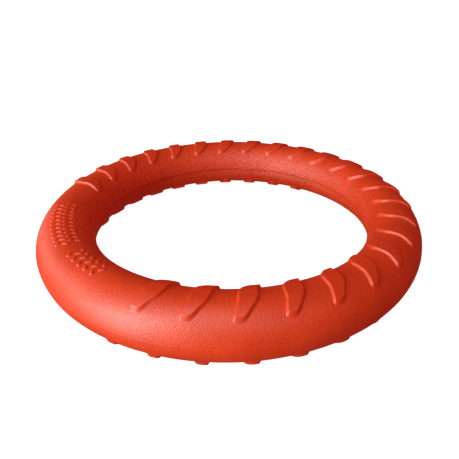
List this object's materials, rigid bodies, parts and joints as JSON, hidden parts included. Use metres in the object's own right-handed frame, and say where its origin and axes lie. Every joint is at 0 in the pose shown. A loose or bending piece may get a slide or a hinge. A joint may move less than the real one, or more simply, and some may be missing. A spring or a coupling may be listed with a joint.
{
  "type": "flying ring",
  "caption": "Round closed-cell foam throwing ring with a grained skin, slanted grip ribs on both faces and a patch of plain raised pips.",
  "frame": {"origin": "centre of the ring, on the parting plane between its two mould halves", "axes": "+Z along the ring's axis, out of the face with the raised pips; +X and +Y lie in the parting plane, and the pips lie between the -X and -Y directions"},
  "size_m": [0.28, 0.28, 0.0418],
  "materials": {
    "foam_skin": "matte moulded foam skin with a fine leather-like grain",
    "foam_core": "closed-cell foam, hidden inside the skin",
    "grip_ribs": "matte moulded foam, smoother than the skin around it"
  },
  "bodies": {
    "root": {"foam_core": "foam_core", "upper_skin": "foam_skin", "lower_skin": "foam_skin", "upper_grip_ribs": "grip_ribs", "lower_grip_ribs": "grip_ribs", "raised_pips": "grip_ribs"}
  },
  "joints": []
}
